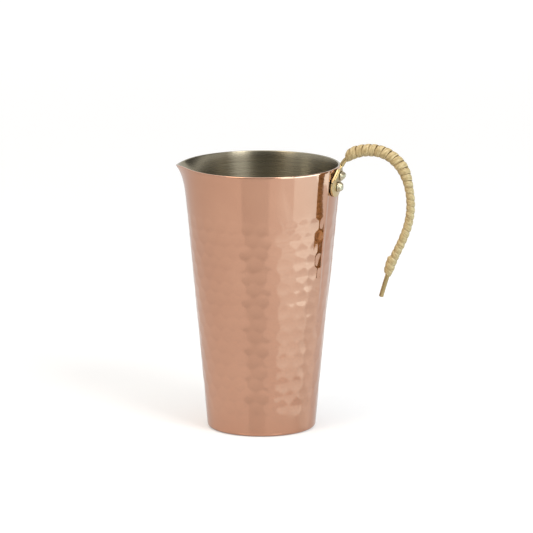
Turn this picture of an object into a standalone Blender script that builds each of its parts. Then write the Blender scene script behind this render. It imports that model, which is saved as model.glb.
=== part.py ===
"""Sake warmer: a tapered copper cup with a pressed spout and a rattan-wound brass hook handle.

Units are metres and +Z is up. The origin is the middle of the flat base.
The handle points along +X and the spout along -X.
"""
import math

import bmesh
import bpy
from mathutils import Vector
from mathutils.kdtree import KDTree

MM = 0.001

# Cup: one sheet of copper, drawn to a straight taper
CUP_HEIGHT = 130.0 * MM
RIM_RADIUS = 38.3 * MM
BASE_RADIUS = 26.4 * MM
WALL = 1.0 * MM
INNER_CORNER_RADIUS = 0.6 * MM
RIM_ROUNDING = 0.3 * MM

# Spout: the wall is pressed outward below a lip that dips a little
SPOUT_REACH = 6.6 * MM
SPOUT_DEPTH = 40.0 * MM
SPOUT_HALF_ANGLE = math.radians(18.5)
SPOUT_FLATNESS = 2.1
SPOUT_FADE = 7.0
LIP_DROP = 1.9 * MM
LIP_DROP_HALF_ANGLE = math.radians(16.8)

# Clearance between pieces that touch on the real object
GAP = 0.3 * MM

# Base plate: a shield-shaped brass sheet, bent to the wall under the rim
PLATE_THICKNESS = 0.8 * MM
PLATE_TOP_DEPTH = 0.4 * MM
PLATE_TOP_WIDTH = 3.0 * MM
PLATE_WIDTH = 16.6 * MM
PLATE_WIDEST_DEPTH = 6.0 * MM
PLATE_BELOW_LOWER_RIVET = 4.9 * MM
PLATE_FLARE = 1.2
PLATE_ROUNDNESS = 2.9

# Rivets: a domed head outside, a shank and a flat clenched head inside
SHANK_DIAMETER = 2.2 * MM
UPPER_HEAD_TOP_DEPTH = 1.4 * MM
UPPER_HEAD_DIAMETER = 4.6 * MM
UPPER_HEAD_HEIGHT = 1.7 * MM
LOWER_HEAD_DIAMETER = 5.0 * MM
LOWER_HEAD_HEIGHT = 2.1 * MM
CLENCH_DIAMETER = 3.6 * MM
CLENCH_HEIGHT = 0.7 * MM

# Foot: the lower end of the rod, hammered out to a fan that lies on the plate. It narrows to the
# round rod over the neck, above the rim, and its lower edge rises in a bow towards the corners
FOOT_THICKNESS = 0.7 * MM
FOOT_WIDTH = 16.2 * MM
FOOT_BELOW_UPPER_RIVET = 0.4 * MM
FOOT_CORNER_RADIUS = 1.2 * MM
FOOT_BOW = 1.4 * MM
FOOT_FLARE = 1.2
FOOT_SQUARENESS = 0.3
NECK_LENGTH = 1.5 * MM

# Rod: a round brass rod bent to an open hook, its places measured from the neck at the rim
ROD_DIAMETER = 2.2 * MM
CROWN_OUT = 15.3 * MM
CROWN_RISE = 8.6 * MM
REACH_OUT = 34.7 * MM
REACH_DROP = 16.8 * MM
BEND_OUT = 28.0 * MM
BEND_DROP = 39.7 * MM
TAIL_OUT = 20.2 * MM
TAIL_DROP = 62.2 * MM
BEND_LEAN = math.radians(26.0)
TAIL_LEAN = math.radians(15.8)
NECK_PULL = 5.0 * MM
CROWN_PULL_BACK = 7.5 * MM
CROWN_PULL = 11.2 * MM
REACH_PULL_BACK = 15.5 * MM
REACH_PULL = 8.5 * MM
BEND_PULL = 8.0 * MM
TAIL_PULL = 7.0 * MM

# Rattan: one flat strip wound round the rod, over a filler strip on the outer side of the crown
WINDING_TURNS = 24
WINDING_ABOVE_NECK = 3.3 * MM
TAIL_BARE_LENGTH = 11.9 * MM
WINDING_SPACING = 0.55 * MM
STRIP_EDGE_THICKNESS = 0.6 * MM
STRIP_THICKNESS = 0.8 * MM
FILLER_THICKNESS = 1.5 * MM
FILLER_WIDTH = 2.4 * MM
FILLER_RAMP_LENGTH = 3.8 * MM
FILLER_FULL_LENGTH = 24.0 * MM
FILLER_TAPER_LENGTH = 14.0 * MM
FILLER_THINNEST = 0.35 * MM

# Facets: how many there are, and how they crowd where the form needs it
CUP_COLUMNS_SPOUT = 24
CUP_COLUMNS_REST = 64
FINE_COLUMNS_SPREAD = 2.0
WALL_ROWS = 8
WALL_ROW_CROWDING = 2.0
CORNER_STEPS = 4
PLATE_ROWS = 16
PLATE_TIP_ROW = 0.5
PLATE_COLUMNS = 8
ROD_SIDES = 12
FOOT_ROWS = 9
FOOT_CORNER_STEPS = 3
NECK_ROWS = 6
HOOK_ROWS = 46
RIVET_SIDES = 16
DOME_STEPS = 4
LOOP_POINTS = 24
FILLER_ROWS = 30
FILLER_SIDES = 8
PATH_SAMPLES_PER_SPAN = 120
SHARP_ANGLE = math.radians(35.0)

# Sizes that follow from the ones above
ROD_RADIUS = ROD_DIAMETER / 2
HOLE_RADIUS = SHANK_DIAMETER / 2 + GAP
WALL_TILT = math.atan2(RIM_RADIUS - BASE_RADIUS, CUP_HEIGHT)
PLATE_FACE = GAP + PLATE_THICKNESS
FOOT_BACK = PLATE_FACE + GAP
FOOT_MIDDLE = FOOT_BACK + FOOT_THICKNESS / 2
FOOT_FACE = FOOT_BACK + FOOT_THICKNESS
UPPER_RIVET_DEPTH = UPPER_HEAD_TOP_DEPTH + UPPER_HEAD_DIAMETER / 2
FOOT_BOTTOM_DEPTH = UPPER_RIVET_DEPTH + UPPER_HEAD_DIAMETER / 2 + FOOT_BELOW_UPPER_RIVET
FLARE_LENGTH = FOOT_BOTTOM_DEPTH + NECK_LENGTH
LOWER_RIVET_DEPTH = FOOT_BOTTOM_DEPTH + GAP + LOWER_HEAD_DIAMETER / 2
PLATE_BOTTOM_DEPTH = LOWER_RIVET_DEPTH + PLATE_BELOW_LOWER_RIVET
HOLE_LENGTH = 2.0 * (WALL + FOOT_FACE)
WINDING_START = NECK_LENGTH + WINDING_ABOVE_NECK
FILLER_LIFT = (FILLER_THICKNESS + GAP) / 2
WINDING_GAP_SEARCH = 4.0 * WINDING_SPACING

# Wall directions in the plane of the handle
RIM_EDGE = Vector((RIM_RADIUS, 0.0, CUP_HEIGHT))
UP_WALL = Vector((math.sin(WALL_TILT), 0.0, math.cos(WALL_TILT)))
OFF_WALL = Vector((math.cos(WALL_TILT), 0.0, -math.sin(WALL_TILT)))


def smoothstep(low, high, value):
    share = min(max((value - low) / (high - low), 0.0), 1.0)
    return share * share * (3.0 - 2.0 * share)


def signed_power(value, exponent):
    return math.copysign(abs(value) ** exponent, value)


def make_material(name, colour, roughness, metallic):
    material = bpy.data.materials.new(name)
    material.use_nodes = True
    shader = material.node_tree.nodes["Principled BSDF"]
    shader.inputs["Base Color"].default_value = (*colour, 1.0)
    shader.inputs["Roughness"].default_value = roughness
    shader.inputs["Metallic"].default_value = metallic
    return material


def add_object(name, bm, material):
    bmesh.ops.recalc_face_normals(bm, faces=bm.faces)
    mesh = bpy.data.meshes.new(name)
    bm.to_mesh(mesh)
    bm.free()
    mesh.materials.append(material)
    mesh.shade_smooth()
    mesh.set_sharp_from_angle(angle=SHARP_ANGLE)
    piece = bpy.data.objects.new(name, mesh)
    bpy.context.scene.collection.objects.link(piece)
    return piece


def bridge(bm, first, second):
    count = len(first)
    for k in range(count):
        nxt = (k + 1) % count
        bm.faces.new((first[k], first[nxt], second[nxt], second[k]))


def cap_across(bm, ring):
    """Close a flat ring whose point k lies across from point n - 1 - k."""
    last = len(ring) - 1
    for k in range(len(ring) // 2 - 1):
        bm.faces.new((ring[k], ring[k + 1], ring[last - k - 1], ring[last - k]))


def loft(rings, cap):
    """Skin a list of rings of points into one closed body."""
    bm = bmesh.new()
    loops = [[bm.verts.new(point) for point in ring] for ring in rings]
    for first, second in zip(loops, loops[1:]):
        bridge(bm, first, second)
    for ring in (loops[0], loops[-1]):
        cap(bm, ring)
    return bm


def cut_hole(piece, cutter):
    modifier = piece.modifiers.new(cutter.name, "BOOLEAN")
    modifier.operation = "DIFFERENCE"
    modifier.solver = "EXACT"
    modifier.object = cutter


# Cup

def cup_angles():
    """Angles round the cup, closer together where the spout is."""
    half_spout = FINE_COLUMNS_SPREAD * SPOUT_HALF_ANGLE
    start = math.pi - half_spout
    fine = [start + 2.0 * half_spout * k / CUP_COLUMNS_SPOUT for k in range(CUP_COLUMNS_SPOUT)]
    rest = 2.0 * (math.pi - half_spout)
    coarse = [math.pi + half_spout + rest * k / CUP_COLUMNS_REST for k in range(CUP_COLUMNS_REST)]
    return fine + coarse


def turn_from_spout(angle):
    return abs(math.remainder(angle - math.pi, 2.0 * math.pi))


def lip_height(angle):
    turn = turn_from_spout(angle) / LIP_DROP_HALF_ANGLE
    return CUP_HEIGHT - LIP_DROP * math.exp(-turn * turn)


def spout_push(angle, height):
    """How far the spout moves the wall outward at this place."""
    share = max(1.0 - (CUP_HEIGHT - height) / SPOUT_DEPTH, 0.0)
    turn = turn_from_spout(angle) / SPOUT_HALF_ANGLE
    return SPOUT_REACH * math.exp(-turn ** SPOUT_FLATNESS) * share ** SPOUT_FADE


def cup_point(angle, height, inset):
    radius = BASE_RADIUS + height * math.tan(WALL_TILT)
    radius += spout_push(angle, height) - inset
    return Vector((radius * math.cos(angle), radius * math.sin(angle), height))


def corner_profile(corner_radius, floor_height, inset):
    """Rounded corner between the tapered wall and a floor, from the wall to the floor."""
    centre_height = floor_height + corner_radius
    centre = BASE_RADIUS - inset + centre_height * math.tan(WALL_TILT)
    centre -= corner_radius / math.cos(WALL_TILT)
    points = []
    for k in range(CORNER_STEPS + 1):
        angle = -WALL_TILT - (math.pi / 2 - WALL_TILT) * k / CORNER_STEPS
        points.append((centre + corner_radius * math.cos(angle),
                       centre_height + corner_radius * math.sin(angle)))
    return points


def wall_rows(angles, inset):
    """Rows of points down one face of the wall, from just under the lip to where the spout ends."""
    spout_end = CUP_HEIGHT - SPOUT_DEPTH
    rows = []
    for k in range(WALL_ROWS + 1):
        share = (k / WALL_ROWS) ** WALL_ROW_CROWDING
        row = []
        for angle in angles:
            top = lip_height(angle) - RIM_ROUNDING
            row.append(cup_point(angle, top + (spout_end - top) * share, inset))
        rows.append(row)
    return rows


def turned_rows(angles, profile):
    rows = []
    for radius, height in profile:
        rows.append([Vector((radius * math.cos(a), radius * math.sin(a), height)) for a in angles])
    return rows


def make_cup(material):
    angles = cup_angles()
    wall_inset = WALL / math.cos(WALL_TILT)
    rim_outer = [cup_point(a, lip_height(a), RIM_ROUNDING) for a in angles]
    rim_inner = [cup_point(a, lip_height(a), wall_inset - RIM_ROUNDING) for a in angles]
    inside = wall_rows(angles, wall_inset)
    inside += turned_rows(angles, corner_profile(INNER_CORNER_RADIUS, WALL, wall_inset))
    outside = wall_rows(angles, 0.0)
    outside += turned_rows(angles, corner_profile(INNER_CORNER_RADIUS + WALL, 0.0, 0.0))
    rows = inside[::-1] + [rim_inner, rim_outer] + outside

    bm = bmesh.new()
    loops = [[bm.verts.new(point) for point in row] for row in rows]
    for first, second in zip(loops, loops[1:]):
        bridge(bm, first, second)
    for loop, height in ((loops[0], WALL), (loops[-1], 0.0)):
        middle = bm.verts.new((0.0, 0.0, height))
        for k, vert in enumerate(loop):
            bm.faces.new((vert, loop[(k + 1) % len(loop)], middle))
    return add_object("cup_body", bm, material)


# Handle seat: places under the rim are given by depth down the wall and distance off it

def on_wall(depth, stand_off):
    return RIM_EDGE - UP_WALL * depth + OFF_WALL * stand_off


def wrap_round_cup(point, across):
    """Turn a point of the handle's plane about the cup's axis, by a distance across it."""
    turn = across / point.x
    return Vector((point.x * math.cos(turn), point.x * math.sin(turn), point.z))


def plate_half_width(depth):
    if depth < PLATE_WIDEST_DEPTH:
        left = (PLATE_WIDEST_DEPTH - depth) / (PLATE_WIDEST_DEPTH - PLATE_TOP_DEPTH)
        return (PLATE_WIDTH - (PLATE_WIDTH - PLATE_TOP_WIDTH) * left ** PLATE_FLARE) / 2
    share = (depth - PLATE_WIDEST_DEPTH) / (PLATE_BOTTOM_DEPTH - PLATE_WIDEST_DEPTH)
    return PLATE_WIDTH / 2 * (1.0 - share ** PLATE_ROUNDNESS) ** (1.0 / PLATE_ROUNDNESS)


def make_base_plate(material):
    rings = []
    for row in range(PLATE_ROWS + 1):
        # Rows close up towards the round lower end, and the last stops just short of it
        share = math.sin(0.5 * math.pi * row / (PLATE_ROWS + PLATE_TIP_ROW))
        depth = PLATE_TOP_DEPTH + (PLATE_BOTTOM_DEPTH - PLATE_TOP_DEPTH) * share
        half = plate_half_width(depth)
        across = [half * (2.0 * k / PLATE_COLUMNS - 1.0) for k in range(PLATE_COLUMNS + 1)]
        face = [wrap_round_cup(on_wall(depth, PLATE_FACE), a) for a in across]
        back = [wrap_round_cup(on_wall(depth, GAP), a) for a in reversed(across)]
        rings.append(face + back)
    return add_object("handle_base_plate", loft(rings, cap_across), material)


def dome(radius, height, seat, direction):
    """Profile of a round head: (distance off the wall, radius), from its rim to its crown."""
    points = []
    for k in range(DOME_STEPS):
        angle = 0.5 * math.pi * k / DOME_STEPS
        points.append((seat + direction * height * math.sin(angle), radius * math.cos(angle)))
    return points


def make_rivet(name, seat, depth, head_diameter, head_height, parent, material):
    """A rivet along the parent's X axis, its head on a seat at this distance off the wall."""
    shank = SHANK_DIAMETER / 2
    clench_seat = -WALL - GAP
    head_seat = seat + GAP
    clench = dome(CLENCH_DIAMETER / 2, CLENCH_HEIGHT, clench_seat, -1.0)
    head = dome(head_diameter / 2, head_height, head_seat, 1.0)
    profile = clench[::-1] + [(clench_seat, shank), (head_seat, shank)] + head

    bm = bmesh.new()
    loops = []
    for off, radius in profile:
        turns = [2.0 * math.pi * k / RIVET_SIDES for k in range(RIVET_SIDES)]
        loops.append([bm.verts.new((off, radius * math.cos(t), radius * math.sin(t))) for t in turns])
    for first, second in zip(loops, loops[1:]):
        bridge(bm, first, second)
    ends = ((loops[0], clench_seat - CLENCH_HEIGHT), (loops[-1], head_seat + head_height))
    for loop, off in ends:
        crown = bm.verts.new((off, 0.0, 0.0))
        for k, vert in enumerate(loop):
            bm.faces.new((vert, loop[(k + 1) % len(loop)], crown))
    rivet = add_object(name, bm, material)
    rivet.parent = parent
    rivet.location = (0.0, 0.0, -depth)
    return rivet


def make_rivet_hole(name, depth, parent):
    """A guide for the hole that a rivet passes through, longer than all it pierces."""
    bm = bmesh.new()
    bmesh.ops.create_cone(bm, cap_ends=True, segments=RIVET_SIDES, radius1=HOLE_RADIUS,
                          radius2=HOLE_RADIUS, depth=HOLE_LENGTH)
    mesh = bpy.data.meshes.new(name)
    bm.to_mesh(mesh)
    bm.free()
    cutter = bpy.data.objects.new(name, mesh)
    bpy.context.scene.collection.objects.link(cutter)
    cutter.parent = parent
    cutter.location = (0.0, 0.0, -depth)
    cutter.rotation_euler = (0.0, math.pi / 2, 0.0)
    cutter.hide_render = True
    cutter.display_type = "WIRE"
    return cutter


# Hook

def neck_point():
    return on_wall(0.0, FOOT_MIDDLE)


def hook_spans():
    """The bent rod's centre line as Bezier spans: start, its pull, the end's pull back, end."""
    neck = neck_point()
    crown = neck + Vector((CROWN_OUT, 0.0, CROWN_RISE))
    reach = neck + Vector((REACH_OUT, 0.0, -REACH_DROP))
    bend = neck + Vector((BEND_OUT, 0.0, -BEND_DROP))
    tail = neck + Vector((TAIL_OUT, 0.0, -TAIL_DROP))
    over = Vector((1.0, 0.0, 0.0))
    down = Vector((0.0, 0.0, -1.0))
    bend_way = Vector((-math.sin(BEND_LEAN), 0.0, -math.cos(BEND_LEAN)))
    tail_way = Vector((-math.sin(TAIL_LEAN), 0.0, -math.cos(TAIL_LEAN)))
    return [
        (neck, neck + UP_WALL * NECK_PULL, crown - over * CROWN_PULL_BACK, crown),
        (crown, crown + over * CROWN_PULL, reach - down * REACH_PULL_BACK, reach),
        (reach, reach + down * REACH_PULL, bend - bend_way * BEND_PULL, bend),
        (bend, bend + bend_way * BEND_PULL, tail - tail_way * TAIL_PULL, tail),
    ]


def bezier(span, t):
    """Point and direction of a Bezier span."""
    a, b, c, d = span
    u = 1.0 - t
    point = a * u ** 3 + b * (3.0 * u * u * t) + c * (3.0 * u * t * t) + d * t ** 3
    way = (b - a) * (u * u) + (c - b) * (2.0 * u * t) + (d - c) * (t * t)
    return point, way.normalized()


class RodPath:
    """The rod's centre line by distance along it from the neck."""

    def __init__(self):
        self.points = []
        self.ways = []
        for number, span in enumerate(hook_spans()):
            for k in range(0 if number == 0 else 1, PATH_SAMPLES_PER_SPAN + 1):
                point, way = bezier(span, k / PATH_SAMPLES_PER_SPAN)
                self.points.append(point)
                self.ways.append(way)
        self.along = [0.0]
        for first, second in zip(self.points, self.points[1:]):
            self.along.append(self.along[-1] + (second - first).length)
        self.length = self.along[-1]

    def at(self, distance):
        """Point on the centre line and the direction to the outer side of the bend."""
        low, high = 0, len(self.along) - 2
        while low < high:
            middle = (low + high + 1) // 2
            if self.along[middle] <= distance:
                low = middle
            else:
                high = middle - 1
        share = (distance - self.along[low]) / (self.along[low + 1] - self.along[low])
        point = self.points[low].lerp(self.points[low + 1], share)
        way = self.ways[low].lerp(self.ways[low + 1], share).normalized()
        return point, Vector((-way.z, 0.0, way.x))


def rod_section(rise):
    """Half width, half thickness and squareness of the rod, by distance above its lower edge."""
    wide = max(1.0 - rise / FLARE_LENGTH, 0.0) ** FOOT_FLARE
    half_width = ROD_RADIUS + (FOOT_WIDTH / 2 - ROD_RADIUS) * wide
    thick = smoothstep(FOOT_BOTTOM_DEPTH, FLARE_LENGTH, rise)
    half_thickness = FOOT_THICKNESS / 2 + (ROD_RADIUS - FOOT_THICKNESS / 2) * thick
    squareness = FOOT_SQUARENESS + (1.0 - FOOT_SQUARENESS) * thick
    return half_width, half_thickness, squareness


def rod_ring(centre, off_way, section, bow=0.0):
    """A ring across the rod or its foot, laid round the cup, its sides raised by the bow."""
    half_width, half_thickness, squareness = section
    ring = []
    for k in range(ROD_SIDES):
        angle = 2.0 * math.pi * (k + 0.5) / ROD_SIDES
        across = half_width * math.cos(angle)
        off = half_thickness * signed_power(math.sin(angle), squareness)
        raised = UP_WALL * (bow * (2.0 * across / FOOT_WIDTH) ** 2)
        ring.append(wrap_round_cup(centre + off_way * off + raised, across))
    return ring


def foot_rows():
    """Depth of each ring of the foot, and how far its rounded lower corners draw in there."""
    rows = []
    for k in range(FOOT_CORNER_STEPS + 1):
        angle = 0.5 * math.pi * k / FOOT_CORNER_STEPS
        depth = FOOT_BOTTOM_DEPTH - FOOT_CORNER_RADIUS * (1.0 - math.cos(angle))
        rows.append((depth, FOOT_CORNER_RADIUS * (1.0 - math.sin(angle))))
    above_corner = FOOT_BOTTOM_DEPTH - FOOT_CORNER_RADIUS
    rows += [(above_corner * (1.0 - k / FOOT_ROWS), 0.0) for k in range(1, FOOT_ROWS)]
    return rows


def foot_rings():
    """Rings from the lower edge of the fan-shaped foot up to the rim."""
    rings = []
    for depth, drawn_in in foot_rows():
        half_width, half_thickness, squareness = rod_section(FOOT_BOTTOM_DEPTH - depth)
        section = (half_width - drawn_in, half_thickness, squareness)
        bow = FOOT_BOW * depth / FOOT_BOTTOM_DEPTH
        rings.append(rod_ring(on_wall(depth, FOOT_MIDDLE), OFF_WALL, section, bow))
    return rings


def hook_distances(path):
    """Distances of the rings above the rim, close together on the narrowing neck."""
    neck = [NECK_LENGTH * k / NECK_ROWS for k in range(NECK_ROWS)]
    rest = path.length - NECK_LENGTH
    return neck + [NECK_LENGTH + rest * k / HOOK_ROWS for k in range(HOOK_ROWS + 1)]


def make_rod(path, material):
    rings = foot_rings()
    for distance in hook_distances(path):
        point, outer = path.at(distance)
        rings.append(rod_ring(point, -outer, rod_section(FOOT_BOTTOM_DEPTH + distance)))
    return add_object("handle_rod", loft(rings, cap_across), material)


# Rattan

def filler_lift(distance):
    """How far the filler moves the middle of the winding to the outer side of the rod."""
    ramp_end = WINDING_START + FILLER_RAMP_LENGTH
    taper_start = ramp_end + FILLER_FULL_LENGTH
    rise = smoothstep(WINDING_START, ramp_end, distance)
    fall = smoothstep(taper_start, taper_start + FILLER_TAPER_LENGTH, distance)
    return FILLER_LIFT * rise * (1.0 - fall)


def filler_thickness(distance):
    return 2.0 * filler_lift(distance) - GAP


def make_filler(path, material):
    """The strip laid along the outer side of the rod, as thick as the winding leaves room for."""
    held = [d for d in path.along if filler_thickness(d) >= FILLER_THINNEST]
    first, last = held[0], held[-1]
    rings = []
    for row in range(FILLER_ROWS + 1):
        distance = first + (last - first) * row / FILLER_ROWS
        half_thickness = filler_thickness(distance) / 2
        half_width = FILLER_WIDTH / 2 * math.sqrt(2.0 * half_thickness / FILLER_THICKNESS)
        point, outer = path.at(distance)
        centre = point + outer * (ROD_RADIUS + GAP + half_thickness)
        ring = []
        for k in range(FILLER_SIDES):
            angle = 2.0 * math.pi * (k + 0.5) / FILLER_SIDES
            across = Vector((0.0, half_width * math.cos(angle), 0.0))
            ring.append(centre + outer * (half_thickness * math.sin(angle)) + across)
        rings.append(ring)
    return add_object("rattan_filler", loft(rings, cap_across), material)


def least_gap(rings):
    """Least distance between points of the strip that lie over half a loop apart along it."""
    tree = KDTree(sum(len(ring) for ring in rings))
    owners = []
    for number, ring in enumerate(rings):
        for point in ring:
            tree.insert(point, len(owners))
            owners.append(number)
    tree.balance()
    least = WINDING_GAP_SEARCH
    for number, ring in enumerate(rings):
        for point in ring:
            for _, index, distance in tree.find_range(point, WINDING_GAP_SEARCH):
                if abs(owners[index] - number) > LOOP_POINTS // 2:
                    least = min(least, distance)
    return least


def make_winding(path, material):
    """One unbroken strip, wound helically from the neck to the bare tail."""
    pitch = (path.length - WINDING_START - TAIL_BARE_LENGTH) / (WINDING_TURNS + 1)
    half_width = (pitch - WINDING_SPACING) / 2
    inner = ROD_RADIUS + GAP
    section = (
        (-half_width, 0.0),
        (-half_width, STRIP_EDGE_THICKNESS),
        (0.0, STRIP_THICKNESS),
        (half_width, STRIP_EDGE_THICKNESS),
        (half_width, 0.0),
    )
    rings = []
    for k in range(WINDING_TURNS * LOOP_POINTS + 1):
        turns = k / LOOP_POINTS
        angle = 2.0 * math.pi * turns
        ring = []
        for shift, height in section:
            distance = WINDING_START + pitch * (turns + 0.5) + shift
            point, outer = path.at(distance)
            lift = filler_lift(distance)
            radius = inner + lift + height
            side = Vector((0.0, radius * math.sin(angle), 0.0))
            ring.append(point + outer * (lift + radius * math.cos(angle)) + side)
        rings.append(ring)
    print(f"Rattan winding: least gap to itself {least_gap(rings) / MM:.2f} mm")
    bm = loft(rings, lambda mesh, ring: mesh.faces.new(ring))
    return add_object("rattan_winding", bm, material)


def main():
    for old in list(bpy.data.objects):
        bpy.data.objects.remove(old, do_unlink=True)

    copper = make_material("polished_copper", (0.82, 0.44, 0.30), 0.22, 1.0)
    plate_brass = make_material("plate_brass", (0.75, 0.60, 0.33), 0.25, 1.0)
    rod_brass = make_material("rod_brass", (0.72, 0.58, 0.32), 0.20, 1.0)
    upper_brass = make_material("upper_rivet_brass", (0.74, 0.60, 0.36), 0.22, 1.0)
    lower_brass = make_material("lower_rivet_brass", (0.74, 0.60, 0.36), 0.22, 1.0)
    cane_core = make_material("rattan_core", (0.50, 0.32, 0.16), 0.70, 0.0)
    cane_skin = make_material("rattan_skin", (0.80, 0.65, 0.42), 0.50, 0.0)

    seat = bpy.data.objects.new("handle_seat", None)
    bpy.context.scene.collection.objects.link(seat)
    seat.location = RIM_EDGE
    seat.rotation_euler = (0.0, WALL_TILT, 0.0)

    path = RodPath()
    cup = make_cup(copper)
    plate = make_base_plate(plate_brass)
    rod = make_rod(path, rod_brass)
    make_rivet("upper_rivet", FOOT_FACE, UPPER_RIVET_DEPTH,
               UPPER_HEAD_DIAMETER, UPPER_HEAD_HEIGHT, seat, upper_brass)
    make_rivet("lower_rivet", PLATE_FACE, LOWER_RIVET_DEPTH,
               LOWER_HEAD_DIAMETER, LOWER_HEAD_HEIGHT, seat, lower_brass)
    make_filler(path, cane_core)
    make_winding(path, cane_skin)

    upper_hole = make_rivet_hole("upper_rivet_hole", UPPER_RIVET_DEPTH, seat)
    lower_hole = make_rivet_hole("lower_rivet_hole", LOWER_RIVET_DEPTH, seat)
    for piece in (cup, plate, rod):
        cut_hole(piece, upper_hole)
    for piece in (cup, plate):
        cut_hole(piece, lower_hole)


main()
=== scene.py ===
"""Looks of the sake warmer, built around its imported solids.

A hammered copper cup with a plated inside, a brass hook riveted under the rim, and a rattan strip
wound round the hook. Units are metres and +Z is up. The handle points along +X, the spout along -X.
"""

import math

import bmesh
import bpy
import numpy as np
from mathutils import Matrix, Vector, noise


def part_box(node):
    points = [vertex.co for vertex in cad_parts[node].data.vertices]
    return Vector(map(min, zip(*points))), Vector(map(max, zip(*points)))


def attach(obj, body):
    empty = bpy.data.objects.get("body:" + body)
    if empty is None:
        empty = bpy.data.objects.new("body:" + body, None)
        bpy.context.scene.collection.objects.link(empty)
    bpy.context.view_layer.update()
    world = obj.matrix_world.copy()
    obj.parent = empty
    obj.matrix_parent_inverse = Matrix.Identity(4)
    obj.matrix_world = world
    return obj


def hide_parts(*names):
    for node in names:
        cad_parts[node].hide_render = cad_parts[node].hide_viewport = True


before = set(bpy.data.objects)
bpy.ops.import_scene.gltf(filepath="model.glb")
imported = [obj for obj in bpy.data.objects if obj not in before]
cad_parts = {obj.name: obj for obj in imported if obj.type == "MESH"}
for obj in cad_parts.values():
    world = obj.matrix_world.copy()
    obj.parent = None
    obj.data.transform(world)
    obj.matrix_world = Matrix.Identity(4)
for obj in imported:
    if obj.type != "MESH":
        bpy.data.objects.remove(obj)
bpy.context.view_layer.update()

MM = 0.001

# Cup: as in the solid, but for the spout's reach and the rim's rounding (under 0.1 mm apart)
CUP_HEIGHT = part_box("cup_body")[1].z
RIM_RADIUS = 38.3 * MM
BASE_RADIUS = 26.4 * MM
WALL = 1.0 * MM
INNER_CORNER_RADIUS = 0.6 * MM
RIM_ROUNDING = 0.36 * MM
SPOUT_REACH = 6.54 * MM
SPOUT_DEPTH = 40.0 * MM
SPOUT_HALF_ANGLE = math.radians(18.5)
SPOUT_FLATNESS = 2.1
SPOUT_FADE = 7.0
LIP_DROP = 1.9 * MM
LIP_DROP_HALF_ANGLE = math.radians(16.8)

# Hammer marks: rows of shallow round hollows that meet in soft ridges
HAMMER_TOP = 104.2 * MM
HAMMER_BOTTOM = 13.0 * MM
HAMMER_ROW_PITCH = 6.0 * MM
HAMMER_PITCH = 7.1 * MM
HAMMER_DEPTH = 0.135 * MM
HAMMER_CURVE_RADIUS = 46.0 * MM
HAMMER_RIDGE_SOFTNESS = 0.022 * MM
HAMMER_SHIFT = 0.9 * MM
HAMMER_ROW_SHIFT = 0.12
HAMMER_REACH = 1.3 * HAMMER_PITCH
HAMMER_DEPTH_SPREAD = 0.18
HAMMER_SEED = 7

# Riveting has pulled the wall flat on both sides of the plate, with a soft ridge next to it
FLAT_FACING_TURN = math.radians(27.0)
FLAT_END_TURN = math.radians(26.4)
FLAT_RIDGE_TURN = math.radians(17.0)
FLAT_PLATE_TURN = math.radians(12.3)
FLAT_TOP = 80.0 * MM
FLAT_BOTTOM = 52.0 * MM

# Handle seat: GAP is the solids' clearance, and the foot and the rivet heads lie closer than that
GAP = 0.3 * MM
FOOT_SEAT = 0.02 * MM
FOOT_SEAT_RAMP = 2.0 * MM
HEAD_SEAT = 0.12 * MM
SEAT_STAND_OFF = 0.08 * MM

# Base plate: depths are measured down the wall from the rim
PLATE_THICKNESS = 0.8 * MM
PLATE_TOP_DEPTH = 0.4 * MM
PLATE_TOP_WIDTH = 3.0 * MM
PLATE_WIDTH = 16.6 * MM
PLATE_WIDEST_DEPTH = 6.0 * MM
PLATE_BELOW_LOWER_RIVET = 4.9 * MM
PLATE_FLARE = 1.2
PLATE_ROUNDNESS = 2.9
PLATE_EDGE_ROUNDING = 0.3 * MM
PLATE_EDGE_STEPS = 3
PLATE_EDGE_ANGLE = math.radians(50.0)

# Rivets: a shank with an uneven hammered head outside and a clenched one inside the cup
SHANK_DIAMETER = 2.2 * MM
UPPER_HEAD_TOP_DEPTH = 1.4 * MM
UPPER_HEAD_DIAMETER = 4.6 * MM
UPPER_HEAD_HEIGHT = 1.7 * MM
LOWER_HEAD_DIAMETER = 5.0 * MM
LOWER_HEAD_HEIGHT = 2.1 * MM
RIVET_UNEVENNESS = 0.22
RIVET_DENT_SIZE = 1.5 * MM
CLENCH_DIAMETER = 3.6 * MM
CLENCH_HEIGHT = 0.7 * MM

# Foot: the fan at the rod's lower end
FOOT_THICKNESS = 0.7 * MM
FOOT_WIDTH = 16.2 * MM
FOOT_BELOW_UPPER_RIVET = 0.4 * MM
FOOT_CORNER_RADIUS = 1.2 * MM
FOOT_BOW = 1.4 * MM
FOOT_FLARE = 1.2
FOOT_SQUARENESS = 0.3
NECK_LENGTH = 1.5 * MM

# Rod: the open hook, its places measured from the neck at the rim
ROD_DIAMETER = 2.2 * MM
CROWN_OUT = 15.3 * MM
CROWN_RISE = 8.6 * MM
REACH_OUT = 34.7 * MM
REACH_DROP = 16.8 * MM
BEND_OUT = 28.0 * MM
BEND_DROP = 39.7 * MM
TAIL_OUT = 20.2 * MM
TAIL_DROP = 62.2 * MM
BEND_LEAN = math.radians(26.0)
TAIL_LEAN = math.radians(15.8)
NECK_PULL = 5.0 * MM
CROWN_PULL_BACK = 7.5 * MM
CROWN_PULL = 11.2 * MM
REACH_PULL_BACK = 15.5 * MM
REACH_PULL = 8.5 * MM
BEND_PULL = 8.0 * MM
TAIL_PULL = 7.0 * MM
TAIL_CHAMFER = 0.25 * MM

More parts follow.
